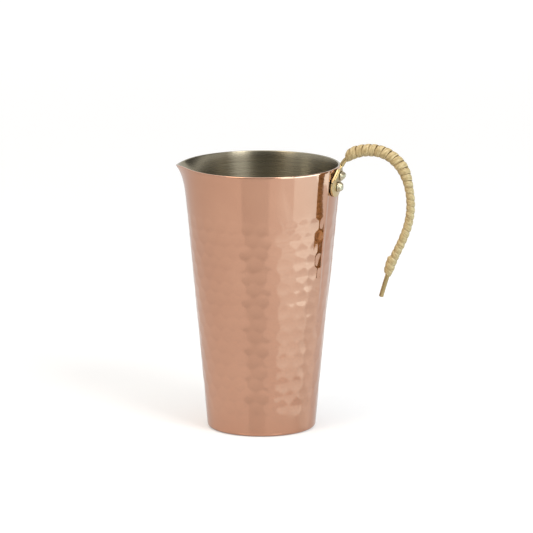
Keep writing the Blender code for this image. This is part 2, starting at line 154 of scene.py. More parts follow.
# Rattan: the strip is as wide as its pitch on the straight, so slits open on the outside of a bend
WINDING_TURNS = 28
WINDING_FIRST_TURN = 0.25
WINDING_ABOVE_NECK = 2.5 * MM
TAIL_BARE_LENGTH = 10.2 * MM
STRIP_SPACING = 0.01 * MM
STRIP_EDGE_THICKNESS = 0.55 * MM
STRIP_THICKNESS = 0.79 * MM
STRIP_TILT = 0.08 * MM
STRIP_WANDER = 0.16 * MM
STRIP_WANDER_RATE = 0.9
STRIP_WANDER_SEED = 3.7
STRIP_SWELL = 0.06 * MM
STRIP_SWELL_RATE = 1.3
STRIP_SWELL_SEED = 9.1
STRIP_END_SHARE = 0.15
STRIP_START_TAPER = 4.2 * MM
STRIP_END_TAPER = 4.5 * MM
WINDING_CLEARANCE = 0.25 * MM
FILLER_THICKNESS = 1.5 * MM
FILLER_WIDTH = 2.4 * MM
FILLER_RAMP_LENGTH = 6.2 * MM
FILLER_FULL_LENGTH = 24.0 * MM
FILLER_TAPER_LENGTH = 14.0 * MM
FILLER_THINNEST = 0.35 * MM
TUCK_LENGTH = 10.7 * MM
TUCK_STEP_LENGTH = 1.4 * MM
TUCK_LIFT = 0.45 * MM
TUCK_FALL = 0.7

# Mesh fineness, and the angles from which an edge is shaded sharp
CUP_COLUMNS = 420
WALL_ROW_PITCH = 0.6 * MM
INNER_ROWS = 40
CORNER_STEPS = 8
RIM_STEPS = 8
RIM_LINED_STEPS = 5
ROD_SIDES = 32
FOOT_ROWS = 26
FOOT_CORNER_STEPS = 6
NECK_ROWS = 14
HOOK_ROWS = 110
PLATE_ROWS = 36
PLATE_COLUMNS = 14
RIVET_SIDES = 40
DOME_STEPS = 10
LOOP_POINTS = 40
STRIP_COLUMNS = 9
FILLER_ROWS = 60
FILLER_SIDES = 14
PATH_SAMPLES_PER_SPAN = 160
BEND_STEP = 0.5 * MM
PLATE_SHARP_ANGLE = math.radians(60.0)
RIVET_SHARP_ANGLE = math.radians(50.0)
ROD_SHARP_ANGLE = math.radians(40.0)
STRIP_SHARP_ANGLE = math.radians(50.0)

# Sizes that follow from the ones above
ROD_RADIUS = ROD_DIAMETER / 2
WALL_TILT = math.atan2(RIM_RADIUS - BASE_RADIUS, CUP_HEIGHT)
PLATE_FACE = GAP + PLATE_THICKNESS
FOOT_BACK = PLATE_FACE + GAP
FOOT_MIDDLE = FOOT_BACK + FOOT_THICKNESS / 2
FOOT_FACE = FOOT_BACK + FOOT_THICKNESS
UPPER_RIVET_DEPTH = UPPER_HEAD_TOP_DEPTH + UPPER_HEAD_DIAMETER / 2
FOOT_BOTTOM_DEPTH = UPPER_RIVET_DEPTH + UPPER_HEAD_DIAMETER / 2 + FOOT_BELOW_UPPER_RIVET
FLARE_LENGTH = FOOT_BOTTOM_DEPTH + NECK_LENGTH
LOWER_RIVET_DEPTH = FOOT_BOTTOM_DEPTH + GAP + LOWER_HEAD_DIAMETER / 2
PLATE_BOTTOM_DEPTH = LOWER_RIVET_DEPTH + PLATE_BELOW_LOWER_RIVET
WINDING_START = NECK_LENGTH + WINDING_ABOVE_NECK
FILLER_LIFT = (FILLER_THICKNESS + GAP) / 2

# Wall directions in the plane of the handle
RIM_EDGE = Vector((RIM_RADIUS, 0.0, CUP_HEIGHT))
UP_WALL = Vector((math.sin(WALL_TILT), 0.0, math.cos(WALL_TILT)))
OFF_WALL = Vector((math.cos(WALL_TILT), 0.0, -math.sin(WALL_TILT)))

# Camera: the photograph's view, with the handle turned a little towards the viewer
VIEW_TURN = math.radians(16.0)
VIEW_DROP = 0.1994
VIEW_DISTANCE = 2.1206
VIEW_SIDESTEP = 2.43 * MM
VIEW_HEIGHT = 0.50764
LENS_LENGTH = 299.7
SENSOR_WIDTH = 36.0

# Colours: most finishes run between a darker and a lighter tone
COPPER_TONES = (0.545, 0.300, 0.205), (0.575, 0.322, 0.220)
LINING_TONES = (0.285, 0.255, 0.188), (0.33, 0.297, 0.220)
SHEET_BRASS_TONES = (0.56, 0.42, 0.195), (0.69, 0.52, 0.265)
ROD_BRASS_TONES = (0.34, 0.25, 0.112), (0.46, 0.345, 0.168)
RIVET_BRASS_TONES = (0.45, 0.385, 0.26), (0.56, 0.49, 0.36)
RATTAN_TONES = (0.428, 0.328, 0.160), (0.558, 0.452, 0.258)
RATTAN_PATCH_TINTS = (0.84, 0.80, 0.72), (1.0, 1.0, 1.0)
RATTAN_FLECK_TINTS = (0.74, 0.68, 0.56), (1.12, 1.12, 1.12)
# Painted shade: the rattan strip darkens towards its edges, where neighbouring turns meet
RATTAN_SEAM_SHADE_COLOUR = (0.27, 0.160, 0.055)
RATTAN_SEAM_SHADE_SHARE = 0.70
RATTAN_SEAM_SHADE_POWER = 6.0
CORE_TONES = (0.060, 0.030, 0.011), (0.150, 0.080, 0.030)
WHITE = (1.0, 1.0, 1.0)
WARM_LIGHT = (1.0, 0.82, 0.58)
COOL_LIGHT = (0.50, 0.85, 1.0)

# Roughness, from the smoother to the rougher places, or around one value
COPPER_ROUGHNESS = 0.035, 0.065
LINING_ROUGHNESS = 0.24, 0.32
RATTAN_ROUGHNESS = 0.40, 0.58
CORE_ROUGHNESS = 0.75
SHEET_BRASS_ROUGHNESS = 0.18
ROD_BRASS_ROUGHNESS = 0.17
RIVET_BRASS_ROUGHNESS = 0.42
BRASS_SMOOTHER = 0.04
BRASS_ROUGHER = 0.08

# Studio: a white room with two places that mirrored rays find dim, and a glossy white table top
WORLD_LIGHT = 0.62
DIM_TURN = math.radians(-83.5)
DIM_LIGHT = 0.05
DIM_EDGE = 0.86
DIM_CORE = 0.885
SIDE_TURN = math.radians(21.0)
SIDE_RISE = math.radians(45.0)
SIDE_LIGHT = 0.1
SIDE_EDGE = 0.866
SIDE_CORE = 0.94
FLOOR_HALF = 3.0
FLOOR_CLEARANCE = 0.1 * MM
FLOOR_COLOUR = (0.62, 0.62, 0.62)
FLOOR_GLOW_NEAR = 0.30
FLOOR_GLOW_FAR = 0.60
FLOOR_NEAR = 0.2
FLOOR_FAR = 1.5
FLOOR_GLOW_MIRRORED = 0.12
FLOOR_ROUGHNESS = 0.04
FLOOR_IOR = 1.5


def smoothstep(low, high, value):
    share = min(max((value - low) / (high - low), 0.0), 1.0)
    return share * share * (3.0 - 2.0 * share)


def signed_power(value, exponent):
    return math.copysign(abs(value) ** exponent, value)


# Meshes

def add_piece(name, vertices, faces, materials, slot, face_materials=None):
    """A smooth-shaded mesh that rides on the object's one body."""
    mesh = bpy.data.meshes.new(name)
    mesh.from_pydata(vertices, [], faces)
    for material in materials:
        mesh.materials.append(material)
    if face_materials is not None:
        mesh.polygons.foreach_set("material_index", face_materials)
    bm = bmesh.new()
    bm.from_mesh(mesh)
    bmesh.ops.recalc_face_normals(bm, faces=bm.faces)
    bm.to_mesh(mesh)
    bm.free()
    mesh.shade_smooth()
    piece = bpy.data.objects.new(name, mesh)
    bpy.context.scene.collection.objects.link(piece)
    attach(piece, "root")
    return piece


def ring_faces(rings, points):
    """Quads between neighbouring closed rings that have the same number of points."""
    faces = []
    for ring in range(rings - 1):
        for k in range(points):
            after = (k + 1) % points
            low, high = ring * points, (ring + 1) * points
            faces.append((low + k, low + after, high + after, high + k))
    return faces


def loft(rings):
    """Points and faces of a body skinned over rings of points, with flat ends."""
    points = len(rings[0])
    vertices = [tuple(point) for ring in rings for point in ring]
    faces = ring_faces(len(rings), points)
    faces.append(tuple(range(points)))
    faces.append(tuple(range(len(vertices) - points, len(vertices))))
    return vertices, faces


def sharpen(piece, angle):
    piece.data.set_sharp_from_angle(angle=angle)


def add_attribute(piece, name, values):
    attribute = piece.data.attributes.new(name, "FLOAT", "POINT")
    attribute.data.foreach_set("value", values)


# Cup

def turn_from_spout(angles):
    return np.abs((angles % (2.0 * math.pi)) - math.pi)


def lip_height(angles):
    turn = turn_from_spout(angles) / LIP_DROP_HALF_ANGLE
    return CUP_HEIGHT - LIP_DROP * np.exp(-turn * turn)


def spout_push(angles, heights):
    share = np.maximum(1.0 - (CUP_HEIGHT - heights) / SPOUT_DEPTH, 0.0)
    turn = turn_from_spout(angles) / SPOUT_HALF_ANGLE
    return SPOUT_REACH * np.exp(-turn ** SPOUT_FLATNESS) * share ** SPOUT_FADE


def hammer_marks():
    """Angle, height, wall radius and depth of every blow, row by row from the top."""
    random = np.random.default_rng(HAMMER_SEED)
    rows = round((HAMMER_TOP - HAMMER_BOTTOM) / HAMMER_ROW_PITCH)
    front = VIEW_TURN - math.pi / 2
    marks = []
    for row in range(rows + 1):
        height = HAMMER_TOP - row * HAMMER_ROW_PITCH
        radius = BASE_RADIUS + height * math.tan(WALL_TILT)
        count = round(2.0 * math.pi * radius / HAMMER_PITCH)
        stagger = 0.5 * (row % 2) + random.uniform(-HAMMER_ROW_SHIFT, HAMMER_ROW_SHIFT)
        for k in range(count):
            angle = front + 2.0 * math.pi * (k + stagger) / count
            angle += random.normal(0.0, HAMMER_SHIFT / 2) / radius
            shift = random.normal(0.0, HAMMER_SHIFT / 2)
            depth = HAMMER_DEPTH * (1.0 + random.normal(0.0, HAMMER_DEPTH_SPREAD))
            marks.append((angle, height + shift, radius, depth))
    return marks


def hammer_depth(angles, heights):
    """How far the blows press the wall in, softened where their hollows meet."""
    total = np.ones_like(heights)
    for angle, height, radius, depth in hammer_marks():
        near_rows = np.where(np.abs(heights[:, 0] - height) < HAMMER_REACH)[0]
        if len(near_rows) == 0:
            continue
        turn = np.angle(np.exp(1j * (angles - angle)))
        near_columns = np.where(np.abs(turn) * radius < HAMMER_REACH)[0]
        block = np.ix_(near_rows, near_columns)
        across = turn[near_columns] * radius
        off = heights[block] - height
        hollow = depth - (across ** 2 + off ** 2) / (2.0 * HAMMER_CURVE_RADIUS)
        total[block] += np.exp(hollow / HAMMER_RIDGE_SOFTNESS)
    return HAMMER_RIDGE_SOFTNESS * np.log(total)


def corner_profile(corner_radius, floor_height, inset):
    """Rounded corner between the tapered wall and a floor, from the wall to the floor."""
    centre_height = floor_height + corner_radius
    centre = BASE_RADIUS - inset + centre_height * math.tan(WALL_TILT)
    centre -= corner_radius / math.cos(WALL_TILT)
    points = []
    for k in range(CORNER_STEPS + 1):
        angle = -WALL_TILT - (math.pi / 2 - WALL_TILT) * k / CORNER_STEPS
        points.append((centre + corner_radius * math.cos(angle),
                       centre_height + corner_radius * math.sin(angle)))
    return points


def wall_heights(angles, bottom, rows):
    """Heights of rows down a wall, even between the dipped lip and a level bottom."""
    top = lip_height(angles) - RIM_ROUNDING
    shares = np.linspace(0.0, 1.0, rows + 1)[:, None]
    return top + (bottom - top) * shares


def wall_radii(angles, heights, inset):
    return BASE_RADIUS + heights * math.tan(WALL_TILT) + spout_push(angles, heights) - inset


def seat_flat(angles, heights):
    """How far the wall stands out beside the plate, where it is flat instead of round."""
    turn = np.abs(np.angle(np.exp(1j * angles)))
    aside = FLAT_FACING_TURN - np.clip(turn, FLAT_RIDGE_TURN, FLAT_END_TURN)
    rise = math.cos(FLAT_FACING_TURN - FLAT_END_TURN) / np.cos(aside) - 1.0
    beside = np.clip((turn - FLAT_PLATE_TURN) / (FLAT_RIDGE_TURN - FLAT_PLATE_TURN), 0.0, 1.0)
    rise *= beside ** 2 * (3.0 - 2.0 * beside)
    fade = np.clip((heights - FLAT_BOTTOM) / (FLAT_TOP - FLAT_BOTTOM), 0.0, 1.0)
    return RIM_RADIUS * rise * fade ** 2 * (3.0 - 2.0 * fade)


def rim_rows(angles, inner_radii, outer_radii):
    """Radii and heights over the rounded edge of the sheet, from the inside to the outside."""
    edge = lip_height(angles) - RIM_ROUNDING
    lean = wall_radii(angles, edge + RIM_ROUNDING, 0.0) - wall_radii(angles, edge, 0.0)
    rows = []
    for k in range(1, RIM_STEPS):
        angle = math.pi * (1.0 - k / RIM_STEPS)
        radii = (inner_radii + outer_radii + (outer_radii - inner_radii) * math.cos(angle)) / 2
        rows.append((radii + lean * math.sin(angle), edge + RIM_ROUNDING * math.sin(angle)))
    return rows


def cup_rows(angles):
    """Radii and heights of the cup's rows: up the inside, and over the rim down the outside."""
    level = np.ones(CUP_COLUMNS)
    wall_inset = WALL / math.cos(WALL_TILT)

    inner_corner = corner_profile(INNER_CORNER_RADIUS, WALL, wall_inset)
    outer_corner = corner_profile(INNER_CORNER_RADIUS + WALL, 0.0, 0.0)
    inner_heights = wall_heights(angles, inner_corner[0][1], INNER_ROWS)
    outer_count = round(CUP_HEIGHT / WALL_ROW_PITCH)
    outer_heights = wall_heights(angles, outer_corner[0][1], outer_count)
    outer_radii = wall_radii(angles, outer_heights, 0.0) + seat_flat(angles, outer_heights)
    outer_radii -= hammer_depth(angles, outer_heights)
    inner_radii = wall_radii(angles, inner_heights, wall_inset)

    inside = [(radius * level, height * level) for radius, height in reversed(inner_corner[1:])]
    inside += list(zip(inner_radii, inner_heights))[::-1]
    outside = rim_rows(angles, inner_radii[0], outer_radii[0])
    outside += list(zip(outer_radii, outer_heights))
    outside += [(radius * level, height * level) for radius, height in outer_corner[1:]]
    return inside, outside


def make_cup(copper, lining):
    """One sheet, with the lining on its inside and over the edge of the rim."""
    angles = np.arange(CUP_COLUMNS) * 2.0 * math.pi / CUP_COLUMNS
    inside, outside = cup_rows(angles)
    vertices = []
    for radii, heights in inside + outside:
        vertices += zip(radii * np.cos(angles), radii * np.sin(angles), heights)
    rows = len(inside) + len(outside)
    faces = ring_faces(rows, CUP_COLUMNS)
    lined = (len(inside) - 1 + RIM_LINED_STEPS) * CUP_COLUMNS
    copper_number, lining_number = 0, 1
    face_materials = [lining_number if k < lined else copper_number for k in range(len(faces))]
    discs = ((0, WALL, lining_number), ((rows - 1) * CUP_COLUMNS, 0.0, copper_number))
    for first, height, number in discs:
        vertices.append((0.0, 0.0, height))
        for k in range(CUP_COLUMNS):
            faces.append((first + k, first + (k + 1) % CUP_COLUMNS, len(vertices) - 1))
            face_materials.append(number)
    cup = add_piece("hammered_cup", vertices, faces, [copper, lining], "copper", face_materials)
    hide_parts("cup_body")


# Handle seat: places under the rim are given by depth down the wall and distance off it

def on_wall(depth, stand_off):
    return RIM_EDGE - UP_WALL * depth + OFF_WALL * stand_off


def wrap_round_cup(point, across):
    """Turn a point of the handle's plane about the cup's axis, by a distance across it.

    The seat is a little flatter than the wall, so its sides stand off.
    """
    turn = across / point.x
    radius = point.x + SEAT_STAND_OFF * (2.0 * across / PLATE_WIDTH) ** 2
    return Vector((radius * math.cos(turn), radius * math.sin(turn), point.z))


def plate_half_width(depth):
    if depth < PLATE_WIDEST_DEPTH:
        left = (PLATE_WIDEST_DEPTH - depth) / (PLATE_WIDEST_DEPTH - PLATE_TOP_DEPTH)
        return (PLATE_WIDTH - (PLATE_WIDTH - PLATE_TOP_WIDTH) * left ** PLATE_FLARE) / 2
    share = (depth - PLATE_WIDEST_DEPTH) / (PLATE_BOTTOM_DEPTH - PLATE_WIDEST_DEPTH)
    return PLATE_WIDTH / 2 * (1.0 - share ** PLATE_ROUNDNESS) ** (1.0 / PLATE_ROUNDNESS)


def make_base_plate(material):
    """A bent sheet, whose rows come closer together towards its rounded bottom."""
    rings = []
    for row in range(PLATE_ROWS + 1):
        share = math.sin(0.5 * math.pi * row / (PLATE_ROWS + 0.5))
        depth = PLATE_TOP_DEPTH + (PLATE_BOTTOM_DEPTH - PLATE_TOP_DEPTH) * share
        half = plate_half_width(depth)
        across = [half * (2.0 * k / PLATE_COLUMNS - 1.0) for k in range(PLATE_COLUMNS + 1)]
        face = [wrap_round_cup(on_wall(depth, PLATE_FACE), a) for a in across]
        back = [wrap_round_cup(on_wall(depth, GAP), a) for a in reversed(across)]
        rings.append(face + back)
    plate = add_piece("base_plate", *loft(rings), [material], "brass")
    bevel = plate.modifiers.new("rounded_edge", "BEVEL")
    bevel.width = PLATE_EDGE_ROUNDING
    bevel.segments = PLATE_EDGE_STEPS
    bevel.limit_method = "ANGLE"
    bevel.angle_limit = PLATE_EDGE_ANGLE
    bevel.use_clamp_overlap = True
    sharpen(plate, PLATE_SHARP_ANGLE)
    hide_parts("handle_base_plate")


def dome(radius, height, seat, direction):
    """Profile of a round head: (distance off the wall, radius), from its rim to its crown."""
    points = []
    for k in range(DOME_STEPS):
        angle = 0.5 * math.pi * k / DOME_STEPS
        points.append((seat + direction * height * math.sin(angle), radius * math.cos(angle)))
    return points


def hammered(point, centre):
    """A point of a rivet's head, moved in or out from its centre as the blows left it."""
    return point + (point - centre) * (RIVET_UNEVENNESS * noise.noise(point / RIVET_DENT_SIZE))


def make_rivet(name, node, seat, depth, head_diameter, head_height, material):
    """A rivet through the wall, with its head close on the seat.

    The crown is about as high as the solid's.
    """
    clench_seat = -WALL - GAP
    head_seat = seat + HEAD_SEAT
    clench = dome(CLENCH_DIAMETER / 2, CLENCH_HEIGHT, clench_seat, -1.0)
    head = dome(head_diameter / 2, head_height + GAP - HEAD_SEAT, head_seat, 1.0)
    shank = SHANK_DIAMETER / 2
    profile = clench[::-1] + [(clench_seat, shank), (head_seat, shank)] + head
    head_centre = on_wall(depth, head_seat)
    rings = []
    for off, radius in profile:
        centre = on_wall(depth, off)
        ring = []
        for k in range(RIVET_SIDES):
            turn = 2.0 * math.pi * k / RIVET_SIDES
            side = Vector((0.0, radius * math.cos(turn), 0.0))
            point = centre + side + UP_WALL * (radius * math.sin(turn))
            ring.append(hammered(point, head_centre) if off >= head_seat else point)
        rings.append(ring)
    rivet = add_piece(name, *loft(rings), [material], "brass")
    sharpen(rivet, RIVET_SHARP_ANGLE)
    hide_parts(node)


# Hook

def hook_spans():
    """The bent rod's centre line as Bezier spans: start, its pull, the end's pull back, end."""
    neck = on_wall(0.0, FOOT_MIDDLE)
    crown = neck + Vector((CROWN_OUT, 0.0, CROWN_RISE))
    reach = neck + Vector((REACH_OUT, 0.0, -REACH_DROP))
    bend = neck + Vector((BEND_OUT, 0.0, -BEND_DROP))
    tail = neck + Vector((TAIL_OUT, 0.0, -TAIL_DROP))
    over = Vector((1.0, 0.0, 0.0))
    down = Vector((0.0, 0.0, -1.0))
    bend_way = Vector((-math.sin(BEND_LEAN), 0.0, -math.cos(BEND_LEAN)))
    tail_way = Vector((-math.sin(TAIL_LEAN), 0.0, -math.cos(TAIL_LEAN)))
    return [
        (neck, neck + UP_WALL * NECK_PULL, crown - over * CROWN_PULL_BACK, crown),
        (crown, crown + over * CROWN_PULL, reach - down * REACH_PULL_BACK, reach),
        (reach, reach + down * REACH_PULL, bend - bend_way * BEND_PULL, bend),
        (bend, bend + bend_way * BEND_PULL, tail - tail_way * TAIL_PULL, tail),
    ]


def bezier(span, t):
    """Point and direction of a Bezier span."""
    a, b, c, d = span
    u = 1.0 - t
    point = a * u ** 3 + b * (3.0 * u * u * t) + c * (3.0 * u * t * t) + d * t ** 3
    way = (b - a) * (u * u) + (c - b) * (2.0 * u * t) + (d - c) * (t * t)
    return point, way.normalized()


class RodPath:
    """The rod's centre line by distance along it from the neck."""

    def __init__(self):
        self.points = []
        self.ways = []
        for number, span in enumerate(hook_spans()):
            for k in range(0 if number == 0 else 1, PATH_SAMPLES_PER_SPAN + 1):
                point, way = bezier(span, k / PATH_SAMPLES_PER_SPAN)
                self.points.append(point)
                self.ways.append(way)
        self.along = [0.0]
        for first, second in zip(self.points, self.points[1:]):
            self.along.append(self.along[-1] + (second - first).length)
        self.length = self.along[-1]

    def at(self, distance):
        """Point on the centre line and the direction to the outer side of the bend."""
        low = int(np.clip(np.searchsorted(self.along, distance) - 1, 0, len(self.along) - 2))
        share = (distance - self.along[low]) / (self.along[low + 1] - self.along[low])
        point = self.points[low].lerp(self.points[low + 1], share)
        way = self.ways[low].lerp(self.ways[low + 1], share).normalized()
        return point, Vector((-way.z, 0.0, way.x))

    def bend(self, distance):
        """Curvature, positive where the outer side is the longer one."""
        before = self.at(distance - BEND_STEP)[1]
        after = self.at(distance + BEND_STEP)[1]
        return (after.x * before.z - after.z * before.x) / (2.0 * BEND_STEP)


def rod_section(rise):
    """Half width, half thickness and squareness of the rod, by distance above its lower edge."""
    wide = max(1.0 - rise / FLARE_LENGTH, 0.0) ** FOOT_FLARE
    half_width = ROD_RADIUS + (FOOT_WIDTH / 2 - ROD_RADIUS) * wide
    thick = smoothstep(FOOT_BOTTOM_DEPTH, FLARE_LENGTH, rise)
    half_thickness = FOOT_THICKNESS / 2 + (ROD_RADIUS - FOOT_THICKNESS / 2) * thick
    squareness = FOOT_SQUARENESS + (1.0 - FOOT_SQUARENESS) * thick
    return half_width, half_thickness, squareness


def rod_ring(centre, off_way, section, bow=0.0, sunk=0.0):
    """A ring across the rod or its foot, laid round the cup.

    The bow raises its sides, and the back is sunk towards the plate.
    """
    half_width, half_thickness, squareness = section
    ring = []
    for k in range(ROD_SIDES):
        angle = 2.0 * math.pi * (k + 0.5) / ROD_SIDES
        across = half_width * math.cos(angle)
        off = half_thickness * signed_power(math.sin(angle), squareness)
        if off < 0.0:
            off -= sunk
        raised = UP_WALL * (bow * (2.0 * across / FOOT_WIDTH) ** 2)
        ring.append(wrap_round_cup(centre + off_way * off + raised, across))
    return ring


def foot_rows():
    """Depth of each ring of the foot, and how far its rounded lower corners draw in there."""
    rows = []
    for k in range(FOOT_CORNER_STEPS + 1):
        angle = 0.5 * math.pi * k / FOOT_CORNER_STEPS
        depth = FOOT_BOTTOM_DEPTH - FOOT_CORNER_RADIUS * (1.0 - math.cos(angle))
        rows.append((depth, FOOT_CORNER_RADIUS * (1.0 - math.sin(angle))))
    above_corner = FOOT_BOTTOM_DEPTH - FOOT_CORNER_RADIUS
    rows += [(above_corner * (1.0 - k / FOOT_ROWS), 0.0) for k in range(1, FOOT_ROWS)]
    return rows


def foot_rings():
    """Rings from the lower edge of the fan-shaped foot up to the rim."""
    rings = []
    for depth, drawn_in in foot_rows():
        half_width, half_thickness, squareness = rod_section(FOOT_BOTTOM_DEPTH - depth)
        section = (half_width - drawn_in, half_thickness, squareness)
        bow = FOOT_BOW * depth / FOOT_BOTTOM_DEPTH
        sunk = (GAP - FOOT_SEAT) * smoothstep(0.0, FOOT_SEAT_RAMP, depth)
        rings.append(rod_ring(on_wall(depth, FOOT_MIDDLE), OFF_WALL, section, bow, sunk))
    return rings


def hook_distances(path):
    """Distances of the rings above the rim, close together on the narrowing neck."""
    neck = [NECK_LENGTH * k / NECK_ROWS for k in range(NECK_ROWS)]
    rest = path.length - NECK_LENGTH - TAIL_CHAMFER
    return neck + [NECK_LENGTH + rest * k / HOOK_ROWS for k in range(HOOK_ROWS + 1)]


def make_rod(path, material):
    """The foot, the neck and the hook in one body, with a chamfered tip."""
    rings = foot_rings()
    for distance in hook_distances(path):
        point, outer = path.at(distance)
        rings.append(rod_ring(point, -outer, rod_section(FOOT_BOTTOM_DEPTH + distance)))
    point, outer = path.at(path.length)
    tip_radius = ROD_RADIUS - TAIL_CHAMFER
    rings.append(rod_ring(point, -outer, (tip_radius, tip_radius, 1.0)))
    rod = add_piece("hook_rod", *loft(rings), [material], "brass")
    sharpen(rod, ROD_SHARP_ANGLE)
    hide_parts("handle_rod")


# Rattan

def filler_lift(distance):
    """How far the filler moves the middle of the winding to the outer side of the rod."""
    ramp_end = WINDING_START + FILLER_RAMP_LENGTH
    taper_start = ramp_end + FILLER_FULL_LENGTH
    rise = smoothstep(WINDING_START, ramp_end, distance)
    fall = smoothstep(taper_start, taper_start + FILLER_TAPER_LENGTH, distance)
    return FILLER_LIFT * rise * (1.0 - fall)


def tuck_lift(distance, end):
    """How far the tucked end moves the last turns to the inner side of the rod."""
    start = end - TUCK_LENGTH
    rise = smoothstep(start, start + TUCK_STEP_LENGTH, distance)
    fall = smoothstep(start + TUCK_STEP_LENGTH, end, distance)
    return TUCK_LIFT * rise * (1.0 - TUCK_FALL * fall)


def make_filler(path, material):
    """The strip laid along the outer side of the rod, as thick as the winding leaves room for."""
    held = [d for d in path.along if 2.0 * filler_lift(d) - GAP >= FILLER_THINNEST]
    first, last = held[0], held[-1]
    rings = []
    for row in range(FILLER_ROWS + 1):
        distance = first + (last - first) * row / FILLER_ROWS
        half_thickness = filler_lift(distance) - GAP / 2
        half_width = FILLER_WIDTH / 2 * math.sqrt(2.0 * half_thickness / FILLER_THICKNESS)
        point, outer = path.at(distance)
        centre = point + outer * (ROD_RADIUS + GAP / 2 + half_thickness)
        ring = []
        for k in range(FILLER_SIDES):
            angle = 2.0 * math.pi * (k + 0.5) / FILLER_SIDES
            across = Vector((0.0, half_width * math.cos(angle), 0.0))
            ring.append(centre + outer * (half_thickness * math.sin(angle)) + across)
        rings.append(ring)
    filler = add_piece("filler_strip", *loft(rings), [material], "rattan_core")
    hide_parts("rattan_filler")


def strip_section():
    """Places round the strip's section: share of its half width, and whether on its face."""
    face = [(2.0 * k / (STRIP_COLUMNS - 1) - 1.0, True) for k in range(STRIP_COLUMNS)]
    back = [(1.0, False), (0.0, False), (-1.0, False)]
    return face + back


def strip_height(distance, share, end):
    """Thickness of the strip across its width, thinned out where it starts and where it ends."""
    height = STRIP_EDGE_THICKNESS + (STRIP_THICKNESS - STRIP_EDGE_THICKNESS) * (1.0 - share * share)
    height += STRIP_TILT * share
    full = smoothstep(WINDING_START, WINDING_START + STRIP_START_TAPER, distance)
    full *= 1.0 - smoothstep(end - STRIP_END_TAPER, end, distance)
    return height * (STRIP_END_SHARE + (1.0 - STRIP_END_SHARE) * full)


def strip_half_width(path, middle, angle, pitch):
    """Half the strip's width along the centre line, of which it covers less outside a bend."""
    width = pitch - STRIP_SPACING
    across = (ROD_RADIUS + 2.0 * filler_lift(middle)) * math.cos(angle)
    stretch = 1.0 + path.bend(middle) * across
    return min(width / stretch, width) / 2


def strip_ring(path, turns, pitch, end, section):
    """The strip's section after a number of turns, laid round the rod and its filler."""
    angle = 2.0 * math.pi * (turns + WINDING_FIRST_TURN)
    wander = STRIP_WANDER * noise.noise(Vector((STRIP_WANDER_RATE * turns, STRIP_WANDER_SEED, 0.0)))
    swell = STRIP_SWELL * noise.noise(Vector((STRIP_SWELL_RATE * turns, STRIP_SWELL_SEED, 0.0)))
    middle = WINDING_START + pitch * (turns + 0.5) + wander
    half_width = strip_half_width(path, middle, angle, pitch)
    ring = []
    for share, on_face in section:
        distance = middle + share * half_width
        point, outer = path.at(distance)
        lift = filler_lift(distance)
        tuck = tuck_lift(distance, end)
        height = strip_height(distance, share, end) + swell if on_face else 0.0
        radius = ROD_RADIUS + WINDING_CLEARANCE + lift + tuck + height
        side = Vector((0.0, radius * math.sin(angle), 0.0))
        ring.append(point + outer * (lift - tuck + radius * math.cos(angle)) + side)
    return ring


def make_winding(path, material):
    """One unbroken strip, wound from the neck to the bare tail."""
    end = path.length - TAIL_BARE_LENGTH
    pitch = (end - WINDING_START) / (WINDING_TURNS + 1)
    section = strip_section()
    places = [k / LOOP_POINTS for k in range(WINDING_TURNS * LOOP_POINTS + 1)]
    rings = [strip_ring(path, turns, pitch, end, section) for turns in places]
    winding = add_piece("rattan_strip", *loft(rings), [material], "rattan_skin")
    add_attribute(winding, "strip_along", [turns for turns in places for _ in section])
    add_attribute(winding, "strip_across", [share for _ in places for share, _ in section])
    sharpen(winding, STRIP_SHARP_ANGLE)
    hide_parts("rattan_winding")


# Materials

